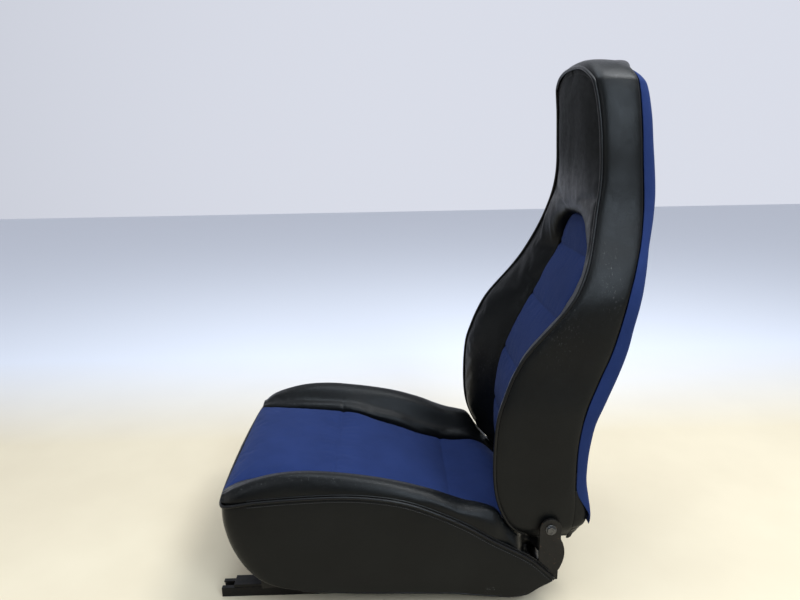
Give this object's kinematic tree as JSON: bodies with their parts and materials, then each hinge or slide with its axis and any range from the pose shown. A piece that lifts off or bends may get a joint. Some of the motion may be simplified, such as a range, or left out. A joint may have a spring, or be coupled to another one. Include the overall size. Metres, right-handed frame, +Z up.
{
  "type": "reclining bucket seat",
  "caption": "High-back sports car seat with cloth centre, vinyl side bolsters, a reclining backrest with built-in headrest, and slide rails.",
  "frame": {"origin": "on the floor under the lower rails, in the seat's mid-plane, at the centre of the seat's outer box front to back", "axes": "+Z up, the seat faces -Y, the seat's left side is +X"},
  "size_m": [0.527, 0.8424, 1.027],
  "materials": {
    "blue_cloth": "matte woven",
    "blue_cover_cloth": "matte woven",
    "black_vinyl": "satin grained",
    "piping": "satin",
    "nylon": "matte",
    "black_plastic": "satin",
    "spring_steel": "dull",
    "zinc_steel": "zinc plated",
    "black_steel": "satin, worn"
  },
  "bodies": {
    "floor_rails": {"lower_rail_left": "black_steel", "lower_rail_right": "black_steel"},
    "seat_base": {"upper_rail_left": "black_steel", "upper_rail_right": "black_steel", "rail_glide_left": "nylon", "rail_glide_right": "nylon", "side_member_left": "black_steel", "side_member_right": "black_steel", "front_cross_member": "black_steel", "rear_cross_member": "black_steel", "base_rear_tube": "black_steel", "seat_spring_1": "spring_steel", "seat_spring_2": "spring_steel", "seat_spring_3": "spring_steel", "seat_spring_4": "spring_steel", "cushion_insert": "blue_cloth", "cushion_bolster_left": "black_vinyl", "cushion_bolster_right": "black_vinyl", "side_skirt_left": "black_vinyl", "side_skirt_right": "black_vinyl", "front_valance": "black_vinyl", "base_piping_left": "piping", "base_piping_right": "piping", "hinge_bracket_left": "black_steel", "hinge_bracket_right": "black_steel", "pivot_bolt_left": "zinc_steel", "pivot_bolt_right": "zinc_steel", "pivot_spacer_left": "zinc_steel", "pivot_spacer_right": "zinc_steel", "pivot_nut_left": "zinc_steel", "pivot_nut_right": "zinc_steel", "release_bracket_left": "black_steel", "release_bracket_right": "black_steel", "release_spring": "spring_steel", "lever_spring": "spring_steel"},
    "backrest": {"back_hoop": "black_steel", "back_lower_tube": "black_steel", "back_upper_tube": "black_steel", "back_spring_1": "spring_steel", "back_spring_2": "spring_steel", "back_spring_3": "spring_steel", "hinge_ear_left": "black_steel", "hinge_ear_right": "black_steel", "recline_sector": "zinc_steel", "back_insert": "blue_cloth", "headrest_pad": "black_vinyl", "back_bolster_left": "black_vinyl", "back_bolster_right": "black_vinyl", "back_side_panel_left": "black_vinyl", "back_side_panel_right": "black_vinyl", "back_top_panel": "black_vinyl", "back_piping": "piping", "back_cover": "blue_cover_cloth"},
    "recline_lever_assembly": {"recline_pawl": "zinc_steel", "lever_shaft": "zinc_steel", "recline_lever": "black_steel", "lever_grip": "black_plastic"},
    "slide_release": {"slide_release_bar": "zinc_steel", "slide_latch_left": "zinc_steel", "slide_latch_right": "zinc_steel"}
  },
  "joints": [
    {"name": "seat_slide", "type": "slide", "parent": "floor_rails", "child": "seat_base", "axis": [0, 1, 0], "range_m": [-0.1, 0.08]},
    {"name": "backrest_recline", "type": "hinge", "parent": "seat_base", "child": "backrest", "pos_m": [0, 0.226, 0.163], "axis": [-1, 0, 0], "range_deg": [-5, 45]},
    {"name": "recline_lever_lift", "type": "hinge", "parent": "seat_base", "child": "recline_lever_assembly", "pos_m": [-0.25, 0.212, 0.097], "axis": [-1, 0, 0], "range_deg": [0, 25], "stiffness_Nm_per_rad": 0.8, "springref_deg": -20.05},
    {"name": "slide_release_lift", "type": "hinge", "parent": "seat_base", "child": "slide_release", "pos_m": [0, -0.262, 0.026], "axis": [-1, 0, 0], "range_deg": [0, 7], "stiffness_Nm_per_rad": 2, "springref_deg": -17.19}
  ]
}
